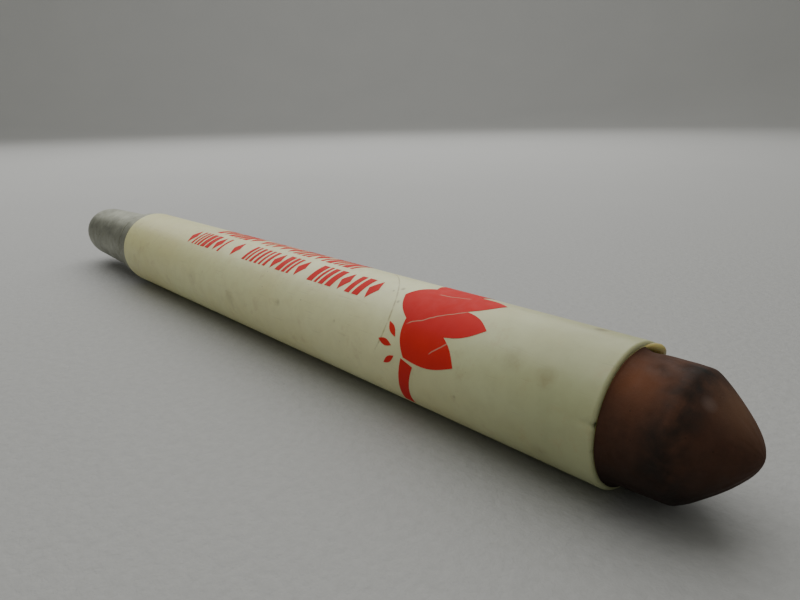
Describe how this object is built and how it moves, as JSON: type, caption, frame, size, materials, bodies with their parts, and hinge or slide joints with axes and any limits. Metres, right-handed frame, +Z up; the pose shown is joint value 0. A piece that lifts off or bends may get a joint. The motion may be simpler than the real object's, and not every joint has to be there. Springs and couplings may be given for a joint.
{
  "type": "bullet pencil",
  "caption": "Pocket bullet pencil, closed: plastic tube with a cone-ended eraser at one end and a pull-out metal bullet that carries a pencil stub inside the tube.",
  "frame": {"origin": "on the surface the pencil lies on, below the middle of the closed pencil", "axes": "+X along the tube's centre line towards the eraser, +Z up, +Y across"},
  "size_m": [0.1002, 0.0094, 0.0095],
  "materials": {
    "barrel": "ivory plastic tube, worn satin gloss, one red screen print",
    "eraser": "aged brick-red rubber, matte, smudged with graphite",
    "cement": "yellowed dried cement",
    "bullet": "dull, tarnished drawn metal",
    "casing": "bare cedar, lacquered side and knife-cut cone",
    "lead": "graphite, dull metallic grey"
  },
  "bodies": {
    "barrel": {"barrel": "barrel", "eraser": "eraser", "eraser_cement": "cement"},
    "bullet": {"bullet_nose": "bullet"},
    "stub": {"stub_casing_upper": "casing", "stub_casing_lower": "casing", "stub_lead": "lead"}
  },
  "joints": [
    {"name": "bullet_slide", "type": "slide", "parent": "barrel", "child": "bullet", "axis": [-1, 0, 0], "range_m": [0, 0.06]},
    {"name": "stub_slide", "type": "slide", "parent": "bullet", "child": "stub", "axis": [1, 0, 0], "range_m": [0, 0.01]}
  ]
}
